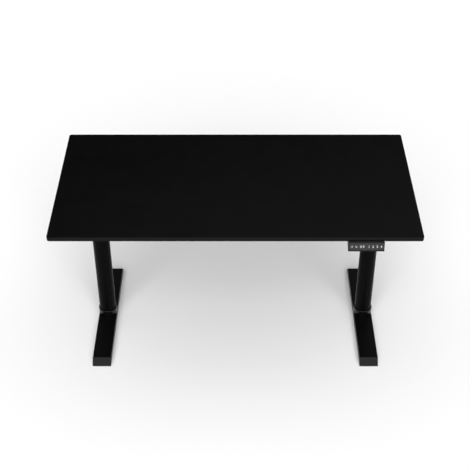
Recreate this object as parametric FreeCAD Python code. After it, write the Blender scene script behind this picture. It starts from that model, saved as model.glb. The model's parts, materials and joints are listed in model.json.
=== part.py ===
import FreeCAD, Part
import math
import os

# Height adjustable standing desk. Millimetres, +Z up, floor at z = 0,
# the user stands on the -Y side, +X is the user's right.
# Everything is drawn at the sitting height, with the worktop at REST_HEIGHT.

Vec = FreeCAD.Vector

# ---- worktop
TOP_WIDTH = 1400.0
TOP_DEPTH = 700.0
TOP_THICK = 16.0
TOP_CORNER_R = 10.0
TOP_EDGE_R = 0.8
REST_HEIGHT = 716.0

# ---- travel from the drawn height
STROKE_DOWN = 40.0
STROKE_UP = 410.0
RUN_GAP = 0.3

# ---- feet
COLUMN_INSET = 145.0
FOOT_WIDTH = 76.0
FOOT_INSET = 65.0
FOOT_HEIGHT = 26.0
FOOT_TOE = 26.0
FOOT_WALL = 2.0
FOOT_FLOOR_GAP = 2.0
FOOT_EDGE_R = 1.0
STIFFENER_THICK = 6.0
STIFFENER_HALF = 60.0
GLIDE_INSET = 40.0
GLIDE_R = 22.0
GLIDE_THICK = 8.0
GLIDE_STUD_R = 4.0
GLIDE_STUD_ROOM = 1.0
GLIDE_BOSS_R = 12.0
GLIDE_BOSS_ROOM = 4.0
GLIDE_ROOM = 2.5
GLIDE_ROUND_R = 1.5

# ---- columns
OUTER_R = 35.0
TUBE_WALL = 2.0
SLIDE_ROOM = 3.0
BASE_DISC_THICK = 8.0
SKIRT_WALL = 4.0
SKIRT_HEIGHT = 30.0
SKIRT_ROUND_R = 1.5
BUSH_LEN = 50.0
BUSH_LIP = 6.0
BUSH_ROUND_R = 2.0
CLOSED_GAP = 4.0
TUBE_GLIDE_LEN = 40.0
COLUMN_BOLT_R = 4.0
COLUMN_BOLT_HEAD_R = 6.5
COLUMN_BOLT_HEAD = 8.0
COLUMN_BOLT_EDGE = 1.0
COLUMN_BOLT_ACCESS_R = 8.0

# ---- drive
PUSH_TUBE_R = 14.0
SPINDLE_R = 7.0
JOURNAL_R = 6.0
END_STOP_R = 11.0
END_STOP_THICK = 6.0
NUT_BODY_LEN = 30.0
NUT_FLANGE = 6.0
BEARING_LOW_R = 16.0
BEARING_LOW_THICK = 10.0
BEARING_TOP_R = 14.0
BEARING_TOP_THICK = 8.0
BEARING_GAP = 0.2
WHEEL_R = 20.5
WHEEL_ROOT_R = 18.6
WHEEL_TEETH = 24
WHEEL_THICK = 12.0
WHEEL_HUB_R = 10.0
WHEEL_ROOM = 3.5
WHEEL_LIFT = 2.0
WHEEL_CHAMBER = 20.0
WORM_R = 8.0
WORM_LEN = 40.0
WORM_ROOM = 2.0
WORM_TURNS = 6
WORM_BEARING_THICK = 7.0
WORM_OFFSET = 29.0
MOTOR_R = 23.0
MOTOR_LEN = 90.0
MOTOR_SHAFT_R = 4.0
ARMATURE_R = 16.0
COMMUTATOR_R = 10.0
MOTOR_WALL = 2.0
MOTOR_ROOM = 1.0
MOTOR_PLATE = 5.0
LOCK_NUT_R = 9.5
LOCK_NUT_THICK = 5.0

# ---- heads, arms and crossbars under the worktop
PAD_THICK = 2.0
PAD_R = 9.0
HEAD_HEIGHT = 64.0
HEAD_WALL = 2.0
HEAD_ROOM = 4.0
HEAD_TAIL_ROOM = 26.0
NUT_ROOM = 1.0
FLANGE_THICK = 4.0
FLANGE_REACH = 6.0
TAIL_REACH = 8.0
GEARBOX_REAR = 50.0
GEARBOX_WALL = 4.0
GEARBOX_FLOOR = 2.0
GEARBOX_CORNER_R = 5.0
GEARBOX_BOLT_INSET = 6.0
RAIL_WALL = 2.5
CROSSBAR_HEIGHT = 32.0
CROSSBAR_FLANGE = 32.0
ARM_WIDTH = 40.0
ARM_HEIGHT = 40.0
ARM_TIP_HEIGHT = 20.0
ARM_INSET = 60.0
ARM_FLAT = 120.0
ARM_SCREW_END = 38.0
ARM_SCREW_PITCH = 140.0
BAR_SCREW_PITCH = 252.0

# ---- fasteners of the frame
BOLT_R = 3.0
BOLT_HEAD_R = 5.0
BOLT_HEAD = 4.0
BOLT_NUT = 4.0
LOW_HEAD = 1.8
LOW_HEAD_R = 6.0
SCREW_R = 2.5
SCREW_HEAD_R = 5.0
SCREW_HEAD = 3.0
SCREW_DEPTH = 12.0
SMALL_SCREW_R = 2.0
SMALL_SCREW_HEAD_R = 4.0

# ---- control box
BOX_HALF_LEN = 125.0
BOX_HALF_DEPTH = 48.0
BOX_HEIGHT = 36.0
BOX_WALL = 2.0
BOX_EAR = 15.0
BOX_CORNER_R = 4.0
BOARD_THICK = 1.6
BOARD_RISE = 6.0
INLET_WIDTH = 28.0
INLET_HEIGHT = 20.0
INLET_DEPTH = 18.0
INLET_Y = -20.0
INLET_FLANGE = 3.0
INLET_FLANGE_THICK = 2.0
SOCKET_WIDTH = 22.0
SOCKET_HEIGHT = 14.0
SOCKET_FLOOR = 3.0
PIN_THICK = 2.0
PIN_WIDTH = 5.0
PIN_SETBACK = 4.0
PIN_PLACES = ((-7.0, -2.5), (7.0, -2.5), (0.0, 2.5))
BOARD_MARGIN = 4.0
SLOT_COUNT = 8
SLOT_PITCH = 12.0
SLOT_WIDTH = 4.0
SLOT_MARGIN = 8.0
BOSS_R = 4.0
BOSS_INSET = 11.0
LID_SCREW_Y = 35.0

# ---- handset under the front edge, right-hand side
HANDSET_INSET = 213.25
HANDSET_WIDTH = 134.0
HANDSET_TOP_REACH = 7.0
HANDSET_LOW_REACH = 14.0
HANDSET_DROP = 36.9
HANDSET_RIM = 3.0
HANDSET_LOW_RIM = 5.5
PANEL_LEDGE = 1.5
PANEL_CORNER_R = 1.5
HANDSET_BODY = 32.0
HANDSET_EAR = 54.0
HANDSET_EAR_THICK = 4.0
HANDSET_CHIN = 8.0
HANDSET_CHIN_DROP = 4.0
HANDSET_REAR_RISE = 12.0
HANDSET_SCREW_X = 45.0
PANEL_THICK = 2.5
CAVITY_DEPTH = 12.0
KEY_WIDTH = 12.4
KEY_HEIGHT = 18.0
KEY_PROUD = 0.6
KEY_TRAVEL = 0.8
KEY_LIP = 1.0
KEY_LIP_THICK = 1.0
KEY_STEM_R = 2.5
KEY_CORNER_R = 1.5
DISPLAY_WIDTH = 24.0
DISPLAY_HEIGHT = 14.0
DISPLAY_X = -16.0
DISPLAY_SUNK = 0.3
DISPLAY_CORNER_R = 1.0
CIRCUIT_LIFT = 2.0
KEYS = {
    "key_up": -54.0,
    "key_down": -38.0,
    "key_memory_1": 9.0,
    "key_memory_2": 24.2,
    "key_memory_3": 39.4,
    "key_memory_4": 54.6,
}

# ---- cables
HANDSET_CABLE_R = 2.0
MOTOR_CABLE_R = 3.0
CABLE_BEND = 25.0
CABLE_DROP = 12.0
CABLE_STANDOFF = 60.0
CABLE_LEAD_OUT = 30.0
HANDSET_PORT_X = 100.0
CLIP_SIZE = 10.0
CLIP_LIP = 2.0
SLEEVE_WALL = 2.0

# ---- levels and stations that follow from the sizes above
MIRROR_X = Vec(1, 0, 0)
MIRROR_Y = Vec(0, 1, 0)
COLUMN_X = TOP_WIDTH / 2 - COLUMN_INSET
FOOT_HALF_LEN = TOP_DEPTH / 2 - FOOT_INSET
FOOT_TOP = FOOT_FLOOR_GAP + FOOT_HEIGHT
BASE_TOP = FOOT_TOP + BASE_DISC_THICK
OUTER_BORE_R = OUTER_R - TUBE_WALL
INNER_R = OUTER_BORE_R - SLIDE_ROOM
INNER_BORE_R = INNER_R - TUBE_WALL
COLUMN_BOLT_CIRCLE_R = OUTER_BORE_R - COLUMN_BOLT_R - COLUMN_BOLT_EDGE
TOP_UNDER = REST_HEIGHT - TOP_THICK
FRAME_TOP = TOP_UNDER - PAD_THICK
HEAD_LOW = FRAME_TOP - HEAD_HEIGHT
HEAD_HALF_DEPTH = max(WORM_OFFSET + MOTOR_R + HEAD_ROOM,
                      GEARBOX_REAR + NUT_ROOM + BOLT_NUT) + HEAD_WALL
COVER_LOW = HEAD_LOW - HEAD_WALL
OUTER_TOP = COVER_LOW - STROKE_DOWN - CLOSED_GAP - BUSH_LIP
INNER_LOW = BASE_TOP + CLOSED_GAP + STROKE_DOWN
PUSH_TOP = OUTER_TOP - NUT_FLANGE
SPINDLE_LOW = PUSH_TOP - NUT_BODY_LEN - STROKE_UP - END_STOP_THICK - CLOSED_GAP
GEARBOX_LOW = HEAD_LOW + FLANGE_THICK
GEARBOX_TOP = FRAME_TOP - HEAD_WALL
WHEEL_STACK = GEARBOX_FLOOR + BEARING_LOW_THICK + WHEEL_LIFT + WHEEL_THICK / 2
WORM_Z = max(HEAD_LOW + MOTOR_R + MOTOR_ROOM, GEARBOX_LOW + WHEEL_STACK)
WHEEL_ROOM_Z = WORM_Z - WHEEL_THICK / 2 - WHEEL_LIFT
BEARING_LOW_Z = WHEEL_ROOM_Z - BEARING_LOW_THICK
SPLIT_Z = WHEEL_ROOM_Z + WHEEL_CHAMBER
BEARING_TOP_Z = SPLIT_Z
LOCK_NUT_Z = BEARING_TOP_Z + BEARING_TOP_THICK + BEARING_GAP
GEARBOX_IN = INNER_R + FLANGE_REACH
GEARBOX_OUT = INNER_R + TAIL_REACH
MOTOR_FACE = COLUMN_X - GEARBOX_IN
MOTOR_END = MOTOR_FACE - MOTOR_LEN
HEAD_X0 = MOTOR_END - HEAD_TAIL_ROOM
HEAD_X1 = COLUMN_X + GEARBOX_OUT + NUT_ROOM + BOLT_NUT + HEAD_WALL
ARM_HALF_LEN = TOP_DEPTH / 2 - ARM_INSET
CROSSBAR_LOW = FRAME_TOP - CROSSBAR_HEIGHT
CABLE_Z = TOP_UNDER - CABLE_DROP
FRONT_Y = -TOP_DEPTH / 2
HANDSET_X = TOP_WIDTH / 2 - HANDSET_INSET
HANDSET_LOW_Y = FRONT_Y - HANDSET_LOW_REACH
HANDSET_LOW_Z = TOP_UNDER - HANDSET_DROP
FACE_RUN = HANDSET_LOW_REACH - HANDSET_TOP_REACH
FACE_LEN = math.hypot(FACE_RUN, HANDSET_DROP)
FACE_TILT = math.degrees(math.atan2(HANDSET_DROP, FACE_RUN))
FACE_MID = (FACE_LEN + HANDSET_LOW_RIM - HANDSET_RIM) / 2
BOX_LOW = TOP_UNDER - BOX_HEIGHT
LID_LOW = TOP_UNDER - BOX_WALL
BOARD_Z = BOX_LOW + BOARD_RISE
BOARD_TOP = BOARD_Z + BOARD_THICK
INLET_Z = BOARD_TOP + INLET_HEIGHT / 2
CABLE_RUN_Y = -(HEAD_HALF_DEPTH + CROSSBAR_FLANGE + CABLE_STANDOFF)
CROSSBAR_BOLT_Z = CROSSBAR_LOW + CROSSBAR_HEIGHT / 2

ARM_SCREW_FAR = ARM_HALF_LEN - ARM_SCREW_END
ARM_SCREW_NEAR = ARM_SCREW_FAR - ARM_SCREW_PITCH
ARM_SCREW_Y = (-ARM_SCREW_FAR, -ARM_SCREW_NEAR, ARM_SCREW_NEAR, ARM_SCREW_FAR)
ARM_SCREW_X = HEAD_X1 + ARM_WIDTH / 2 + RAIL_WALL
BAR_SCREW_X = (-BAR_SCREW_PITCH, 0.0, BAR_SCREW_PITCH)
BAR_SCREW_Y = HEAD_HALF_DEPTH + RAIL_WALL + CROSSBAR_FLANGE / 2


def block(x0, x1, y0, y1, z0, z1):
    return Part.makeBox(x1 - x0, y1 - y0, z1 - z0, Vec(x0, y0, z0))


def post(r, z0, z1, x=0.0, y=0.0):
    return Part.makeCylinder(r, z1 - z0, Vec(x, y, z0))


def bar_x(r, x0, x1, y, z):
    return Part.makeCylinder(r, x1 - x0, Vec(x0, y, z), Vec(1, 0, 0))


def bar_y(r, y0, y1, x, z):
    return Part.makeCylinder(r, y1 - y0, Vec(x, y0, z), Vec(0, 1, 0))


def ring(r_out, r_in, z0, z1, x=0.0, y=0.0):
    return post(r_out, z0, z1, x, y).cut(post(r_in, z0, z1, x, y))


def prism(points, depth):
    """Closed outline swept along one vector."""
    wire = Part.makePolygon([Vec(*p) for p in points] + [Vec(*points[0])])
    return Part.Face(wire).extrude(Vec(*depth))


def joined(shapes):
    whole = shapes[0]
    for shape in shapes[1:]:
        whole = whole.fuse(shape)
    return whole.removeSplitter()


def without(shape, cutters):
    for cutter in cutters:
        shape = shape.cut(cutter)
    return shape


def round_upright(shape, radius):
    edges = [e for e in shape.Edges if len(e.Vertexes) == 2
             and abs(e.tangentAt(e.FirstParameter).z) > 0.999]
    return shape.makeFillet(radius, edges)


def mirrored(shape, normal=MIRROR_X):
    return shape.mirror(Vec(0, 0, 0), normal)


def round_ends(shape, z):
    """Circular edges that lie wholly on one side of a level."""
    return [e for e in shape.Edges if len(e.Vertexes) == 1 and e.BoundBox.ZMin > z]


def save(name, solids):
    whole = solids[0] if len(solids) == 1 else Part.makeCompound(solids)
    whole.exportStep(os.path.join("parts", name + ".step"))
    print(name, len(whole.Solids), "solid(s)", round(whole.Volume / 1000, 2), "cm3")


def save_pair(name, make):
    """One piece per column: drawn on the right, mirrored to the left."""
    right = make()
    save("right_" + name, [right])
    save("left_" + name, [mirrored(right)])


def save_both(name, solids):
    """Left and right pieces of one kind that share a node."""
    save(name, solids + [mirrored(s) for s in solids])


# ---- feet and glides

def glide_stations():
    reach = FOOT_HALF_LEN - GLIDE_INSET
    return {"front": -reach, "rear": reach}


def column_bolt_places():
    d = COLUMN_BOLT_CIRCLE_R / math.sqrt(2)
    return [(COLUMN_X + sx * d, sy * d) for sx in (-1, 1) for sy in (-1, 1)]


def foot_shell(inset):
    """Beam outline with sloped ends, drawn in from the outer faces by one inset."""
    x = FOOT_WIDTH / 2 - inset
    low, top = FOOT_FLOOR_GAP + inset, FOOT_TOP - inset
    slope = FOOT_TOE / FOOT_HEIGHT
    end_wall = inset * math.hypot(1, slope)
    y_low = FOOT_HALF_LEN + FOOT_TOE - slope * inset - end_wall
    y_top = FOOT_HALF_LEN + slope * inset - end_wall
    outline = [(COLUMN_X - x, -y_low, low), (COLUMN_X - x, y_low, low),
               (COLUMN_X - x, y_top, top), (COLUMN_X - x, -y_top, top)]
    return prism(outline, (2 * x, 0, 0))


def foot_beam():
    """Welded box beam with its stiffener and the two glide bosses inside."""
    half = FOOT_WIDTH / 2
    low, top, wall = FOOT_FLOOR_GAP, FOOT_TOP, FOOT_WALL
    body = foot_shell(0)
    body = body.makeFillet(FOOT_EDGE_R, [e for e in body.Edges if e.BoundBox.ZMax > top - 1])
    body = body.cut(foot_shell(wall))
    inner_top = top - wall
    parts = [body, block(COLUMN_X - half + wall, COLUMN_X + half - wall,
                         -STIFFENER_HALF, STIFFENER_HALF, inner_top - STIFFENER_THICK, inner_top)]
    for y in glide_stations().values():
        parts.append(post(GLIDE_BOSS_R, GLIDE_THICK + GLIDE_BOSS_ROOM, inner_top, COLUMN_X, y))
    cuts = []
    for y in glide_stations().values():
        cuts.append(post(GLIDE_R + GLIDE_ROOM, 0, low + wall, COLUMN_X, y))
        cuts.append(post(GLIDE_STUD_R + RUN_GAP, low + wall, inner_top, COLUMN_X, y))
    for x, y in column_bolt_places():
        cuts.append(post(COLUMN_BOLT_R, low + wall + 1, top, x, y))
        cuts.append(post(COLUMN_BOLT_ACCESS_R, 0, low + wall, x, y))
    return without(joined(parts), cuts)


def glide(y):
    """Levelling foot: pad and threaded stud in one."""
    pad = post(GLIDE_R, 0, GLIDE_THICK, COLUMN_X, y)
    pad = pad.makeFillet(GLIDE_ROUND_R, [e for e in pad.Edges if len(e.Vertexes) == 1])
    stud_top = FOOT_TOP - FOOT_WALL - GLIDE_STUD_ROOM
    return joined([pad, post(GLIDE_STUD_R, GLIDE_THICK, stud_top, COLUMN_X, y)])


def column_bolts():
    bolts = []
    seat = FOOT_TOP - FOOT_WALL - STIFFENER_THICK
    for x, y in column_bolt_places():
        head = post(COLUMN_BOLT_HEAD_R, seat - COLUMN_BOLT_HEAD, seat, x, y)
        shank = post(COLUMN_BOLT_R, seat, BASE_TOP - 1, x, y)
        bolts.append(joined([head, shank]))
    return Part.makeCompound(bolts)


# ---- lower, fixed half of a column

def outer_tube():
    """Outer tube with the base disc welded into its foot."""
    tube = ring(OUTER_R, OUTER_BORE_R, FOOT_TOP, OUTER_TOP, COLUMN_X)
    disc = post(OUTER_BORE_R, FOOT_TOP, BASE_TOP, COLUMN_X)
    holes = [post(COLUMN_BOLT_R, FOOT_TOP, BASE_TOP - 1, x, y) for x, y in column_bolt_places()]
    return without(joined([tube, disc]), holes)


def column_skirt():
    skirt = post(OUTER_R + SKIRT_WALL, FOOT_TOP, FOOT_TOP + SKIRT_HEIGHT, COLUMN_X)
    skirt = skirt.makeFillet(SKIRT_ROUND_R, round_ends(skirt, FOOT_TOP + 1))
    return skirt.cut(post(OUTER_R, FOOT_TOP, FOOT_TOP + SKIRT_HEIGHT, COLUMN_X))


def top_bush():
    """Plastic slide bush pressed into the mouth of the outer tube."""
    bore = INNER_R + RUN_GAP
    sleeve = ring(OUTER_BORE_R, bore, OUTER_TOP - BUSH_LEN, OUTER_TOP, COLUMN_X)
    lip = post(OUTER_R, OUTER_TOP, OUTER_TOP + BUSH_LIP, COLUMN_X)
    lip = lip.makeFillet(BUSH_ROUND_R, round_ends(lip, OUTER_TOP + 1))
    lip = lip.cut(post(bore, OUTER_TOP, OUTER_TOP + BUSH_LIP, COLUMN_X))
    return joined([sleeve, lip])


def push_tube():
    return ring(PUSH_TUBE_R, PUSH_TUBE_R - TUBE_WALL, BASE_TOP, PUSH_TOP, COLUMN_X)


def drive_nut():
    body = post(PUSH_TUBE_R - TUBE_WALL, PUSH_TOP - NUT_BODY_LEN, PUSH_TOP, COLUMN_X)
    flange = post(PUSH_TUBE_R, PUSH_TOP, PUSH_TOP + NUT_FLANGE, COLUMN_X)
    bore = post(SPINDLE_R + RUN_GAP, PUSH_TOP - NUT_BODY_LEN, PUSH_TOP + NUT_FLANGE, COLUMN_X)
    return joined([body, flange]).cut(bore)


# ---- upper, lifting half of a column

def gearbox_bolt_places():
    inset = GEARBOX_BOLT_INSET
    return [(COLUMN_X + sx * (GEARBOX_IN - inset), y) for sx in (-1, 1)
            for y in (-(GEARBOX_IN - inset), GEARBOX_REAR - inset)]


def gearbox_slab(z0, z1):
    slab = block(COLUMN_X - GEARBOX_IN, COLUMN_X + GEARBOX_OUT, -GEARBOX_IN, GEARBOX_REAR, z0, z1)
    return round_upright(slab, GEARBOX_CORNER_R)


def inner_tube():
    """Lifting tube and the flange plate that is welded round its top end."""
    tube = ring(INNER_R, INNER_BORE_R, INNER_LOW, GEARBOX_LOW, COLUMN_X)
    holes = [post(BOLT_R, HEAD_LOW, GEARBOX_LOW, x, y) for x, y in gearbox_bolt_places()]
    holes.append(post(INNER_R, HEAD_LOW, GEARBOX_LOW, COLUMN_X))
    plate = without(gearbox_slab(HEAD_LOW, GEARBOX_LOW), holes)
    return Part.makeCompound([tube, plate])


def inner_tube_glide():
    return ring(OUTER_BORE_R - RUN_GAP, INNER_R, INNER_LOW, INNER_LOW + TUBE_GLIDE_LEN, COLUMN_X)


def worm_chamber():
    far = COLUMN_X + GEARBOX_OUT - GEARBOX_WALL
    return bar_x(WORM_R + WORM_ROOM, MOTOR_FACE, far, WORM_OFFSET, WORM_Z)


def gearbox_housing():
    body = gearbox_slab(GEARBOX_LOW, SPLIT_Z)
    cuts = [
        post(WHEEL_R + WHEEL_ROOM, WHEEL_ROOM_Z, SPLIT_Z, COLUMN_X),
        post(BEARING_LOW_R, BEARING_LOW_Z, WHEEL_ROOM_Z, COLUMN_X),
        post(SPINDLE_R + 1, GEARBOX_LOW, BEARING_LOW_Z, COLUMN_X),
        worm_chamber(),
    ]
    cuts += [post(BOLT_R, GEARBOX_LOW, SPLIT_Z, x, y) for x, y in gearbox_bolt_places()]
    return without(body, cuts)


def gearbox_lid():
    body = gearbox_slab(SPLIT_Z, GEARBOX_TOP)
    nut_top = LOCK_NUT_Z + LOCK_NUT_THICK + 3
    cuts = [
        post(BEARING_TOP_R, BEARING_TOP_Z, BEARING_TOP_Z + BEARING_TOP_THICK, COLUMN_X),
        post(LOCK_NUT_R + 2, BEARING_TOP_Z + BEARING_TOP_THICK, nut_top, COLUMN_X),
    ]
    cuts += [post(BOLT_R, SPLIT_Z, GEARBOX_TOP, x, y) for x, y in gearbox_bolt_places()]
    return without(body, cuts)


def bearings():
    """Two spindle bearings and two worm bearings of one gearbox."""
    bore = JOURNAL_R + BEARING_GAP
    low = ring(BEARING_LOW_R, bore, BEARING_LOW_Z, WHEEL_ROOM_Z, COLUMN_X)
    top = ring(BEARING_TOP_R, bore, BEARING_TOP_Z, BEARING_TOP_Z + BEARING_TOP_THICK, COLUMN_X)
    rings = [low, top]
    tail = COLUMN_X + GEARBOX_OUT - GEARBOX_WALL - WORM_BEARING_THICK
    for x in (MOTOR_FACE, tail):
        outer = bar_x(WORM_R + WORM_ROOM, x, x + WORM_BEARING_THICK, WORM_OFFSET, WORM_Z)
        inner = bar_x(MOTOR_SHAFT_R + BEARING_GAP, x, x + WORM_BEARING_THICK, WORM_OFFSET, WORM_Z)
        rings.append(outer.cut(inner))
    return rings


def spindle():
    """Lifting spindle with its end stop, bearing journal and lock nut."""
    shoulder = BEARING_LOW_Z - RUN_GAP
    screw = post(SPINDLE_R, SPINDLE_LOW, shoulder, COLUMN_X)
    stop = post(END_STOP_R, SPINDLE_LOW, SPINDLE_LOW + END_STOP_THICK, COLUMN_X)
    journal = post(JOURNAL_R, shoulder, LOCK_NUT_Z, COLUMN_X)
    nut = post(LOCK_NUT_R, LOCK_NUT_Z, LOCK_NUT_Z + LOCK_NUT_THICK, COLUMN_X)
    return joined([screw, stop, journal, nut])


def worm_wheel():
    """Toothed wheel keyed on the spindle journal."""
    z0 = WORM_Z - WHEEL_THICK / 2
    pitch = 2 * math.pi / WHEEL_TEETH
    points = []
    for i in range(WHEEL_TEETH):
        for share, radius in ((0.0, WHEEL_ROOT_R), (0.3, WHEEL_R), (0.6, WHEEL_R), (0.9, WHEEL_ROOT_R)):
            turn = (i + share) * pitch
            points.append((COLUMN_X + radius * math.cos(turn), radius * math.sin(turn), z0))
    rim = prism(points, (0, 0, WHEEL_THICK))
    hub = post(WHEEL_HUB_R, WHEEL_ROOM_Z + BEARING_GAP, SPLIT_Z - BEARING_GAP, COLUMN_X)
    bore = post(JOURNAL_R, WHEEL_ROOM_Z, SPLIT_Z, COLUMN_X)
    return joined([rim, hub]).cut(bore)


def motor_rotor():
    """Motor shaft with its armature and commutator, and the worm on the far end."""
    parts = [
        bar_x(MOTOR_SHAFT_R, MOTOR_END + 4, COLUMN_X + GEARBOX_OUT - 5, WORM_OFFSET, WORM_Z),
        bar_x(ARMATURE_R, MOTOR_END + 24, MOTOR_FACE - 14, WORM_OFFSET, WORM_Z),
        bar_x(COMMUTATOR_R, MOTOR_END + 12, MOTOR_END + 22, WORM_OFFSET, WORM_Z),
    ]
    x0 = COLUMN_X - WORM_LEN / 2
    lead = WORM_LEN / WORM_TURNS
    parts.append(bar_x(WORM_R - WORM_ROOM, x0, x0 + WORM_LEN, WORM_OFFSET, WORM_Z))
    for i in range(WORM_TURNS):
        mid = x0 + (i + 0.5) * lead
        parts.append(bar_x(WORM_R, mid - lead / 4, mid + lead / 4, WORM_OFFSET, WORM_Z))
    return joined(parts)


def motor_can():
    """Deep-drawn motor can with its front plate."""
    can = bar_x(MOTOR_R, MOTOR_END, MOTOR_FACE, WORM_OFFSET, WORM_Z)
    rim = [e for e in can.Edges if len(e.Vertexes) == 1 and e.BoundBox.XMax < MOTOR_END + 1]
    can = can.makeFillet(2.5, rim)
    bore = bar_x(MOTOR_R - MOTOR_WALL, MOTOR_END + 3, MOTOR_FACE - MOTOR_PLATE,
                 WORM_OFFSET, WORM_Z)
    hole = bar_x(MOTOR_SHAFT_R + 1, MOTOR_FACE - MOTOR_PLATE, MOTOR_FACE, WORM_OFFSET, WORM_Z)
    return without(can, [bore, hole])


def crossbar_bolt_stations():
    return (HEAD_X0 + 34, HEAD_X1 - 20)


def arm_bolt_places():
    return [(y, z) for y in (-26.0, 26.0) for z in (FRAME_TOP - 11, FRAME_TOP - 29)]


def head_box():
    """Folded steel box over the gearbox and the motor, open below."""
    depth = HEAD_HALF_DEPTH
    wall = HEAD_WALL
    box = block(HEAD_X0, HEAD_X1, -depth, depth, HEAD_LOW, FRAME_TOP)
    inside = block(HEAD_X0 + wall, HEAD_X1 - wall, -depth + wall, depth - wall,
                   HEAD_LOW, FRAME_TOP - wall)
    cuts = [inside, bar_x(MOTOR_CABLE_R + SLEEVE_WALL, HEAD_X0, HEAD_X0 + wall,
                          WORM_OFFSET, WORM_Z)]
    cuts += [post(BOLT_R, GEARBOX_TOP, FRAME_TOP, x, y) for x, y in gearbox_bolt_places()]
    for x in crossbar_bolt_stations():
        cuts.append(bar_y(BOLT_R, -depth, depth, x, CROSSBAR_BOLT_Z))
    for y, z in arm_bolt_places():
        cuts.append(bar_x(BOLT_R, HEAD_X1 - wall, HEAD_X1, y, z))
    return without(round_upright(box, 1.5), cuts)


def head_cover():
    """Bottom plate of a head, with the round hole for the lifting tube."""
    plate = block(HEAD_X0, HEAD_X1, -HEAD_HALF_DEPTH, HEAD_HALF_DEPTH, COVER_LOW, HEAD_LOW)
    return round_upright(plate, 1.5).cut(post(INNER_R, COVER_LOW, HEAD_LOW, COLUMN_X))


# ---- worktop frame

def side_arm():
    """Pressed channel under the worktop, front to back, its open side outwards."""
    half, top = ARM_HALF_LEN, FRAME_TOP
    low, tip = top - ARM_HEIGHT, top - ARM_TIP_HEIGHT
    x0, x1, wall = HEAD_X1, HEAD_X1 + ARM_WIDTH, RAIL_WALL
    outline = [(x0, -half, top), (x0, half, top), (x0, half, tip),
               (x0, ARM_FLAT, low), (x0, -ARM_FLAT, low), (x0, -half, tip)]
    inner = [(x0 + wall, -half + wall, top - wall), (x0 + wall, half - wall, top - wall),
             (x0 + wall, half - wall, tip + wall), (x0 + wall, ARM_FLAT, low + wall),
             (x0 + wall, -ARM_FLAT, low + wall), (x0 + wall, -half + wall, tip + wall)]
    arm = prism(outline, (x1 - x0, 0, 0)).cut(prism(inner, (x1 - x0, 0, 0)))
    cuts = [post(SCREW_R, top - wall, top, ARM_SCREW_X, y) for y in ARM_SCREW_Y]
    cuts += [bar_x(BOLT_R, x0, x0 + wall, y, z) for y, z in arm_bolt_places()]
    return without(arm, cuts)


def crossbar(side, cable_holes):
    """Channel along one side of both heads, its open side away from them."""
    y0, y1 = HEAD_HALF_DEPTH, HEAD_HALF_DEPTH + CROSSBAR_FLANGE
    wall = RAIL_WALL
    bar = block(-HEAD_X1, HEAD_X1, y0, y1, CROSSBAR_LOW, FRAME_TOP)
    bar = bar.cut(block(-HEAD_X1, HEAD_X1, y0 + wall, y1, CROSSBAR_LOW + wall, FRAME_TOP - wall))
    cuts = [post(SCREW_R, FRAME_TOP - wall, FRAME_TOP, x, BAR_SCREW_Y) for x in BAR_SCREW_X]
    for x in crossbar_bolt_stations():
        for sx in (-1, 1):
            cuts.append(bar_y(BOLT_R, y0, y0 + wall, sx * x, CROSSBAR_BOLT_Z))
    for x in cable_holes:
        cuts.append(bar_y(HANDSET_CABLE_R + SLEEVE_WALL, y0, y0 + wall, x, CABLE_Z))
    bar = without(bar, cuts)
    return bar if side > 0 else mirrored(bar, MIRROR_Y)


def frame_bolts():
    """Bolts and nuts that hold one head to its gearbox, arm and both crossbars."""
    solids = []
    for x, y in gearbox_bolt_places():
        head = post(LOW_HEAD_R, FRAME_TOP, FRAME_TOP + LOW_HEAD, x, y)
        solids.append(joined([head, post(BOLT_R, HEAD_LOW, FRAME_TOP, x, y)]))
    z = CROSSBAR_BOLT_Z
    wall_in = HEAD_HALF_DEPTH - HEAD_WALL
    web_out = HEAD_HALF_DEPTH + RAIL_WALL
    for x in crossbar_bolt_stations():
        shank = bar_y(BOLT_R, wall_in - BOLT_NUT, web_out, x, z)
        bolt = joined([shank, bar_y(BOLT_HEAD_R, web_out, web_out + BOLT_HEAD, x, z)])
        nut = bar_y(BOLT_HEAD_R, wall_in - BOLT_NUT, wall_in, x, z)
        nut = nut.cut(bar_y(BOLT_R, wall_in - BOLT_NUT, wall_in, x, z))
        for piece in (bolt, nut):
            solids += [piece, mirrored(piece, MIRROR_Y)]
    x0 = HEAD_X1 - HEAD_WALL
    web = HEAD_X1 + RAIL_WALL
    for y, z in arm_bolt_places():
        shank = bar_x(BOLT_R, x0 - BOLT_NUT, web, y, z)
        solids.append(joined([shank, bar_x(BOLT_HEAD_R, web, web + BOLT_HEAD, y, z)]))
        nut = bar_x(BOLT_HEAD_R, x0 - BOLT_NUT, x0, y, z)
        solids.append(nut.cut(bar_x(BOLT_R, x0 - BOLT_NUT, x0, y, z)))
    return solids


# ---- worktop and its fixings

def top_screw_places():
    places = [(sx * ARM_SCREW_X, y) for sx in (-1, 1) for y in ARM_SCREW_Y]
    places += [(x, sy * BAR_SCREW_Y) for x in BAR_SCREW_X for sy in (-1, 1)]
    return places


def lid_screw_places():
    x = BOX_HALF_LEN + BOX_EAR / 2
    return [(sx * x, sy * LID_SCREW_Y) for sx in (-1, 1) for sy in (-1, 1)]


def handset_screw_places():
    y = FRONT_Y + HANDSET_BODY + (HANDSET_EAR - HANDSET_BODY) / 2
    return [(HANDSET_X + sx * HANDSET_SCREW_X, y) for sx in (-1, 1)]


def small_screw_holes():
    return lid_screw_places() + handset_screw_places()


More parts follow.
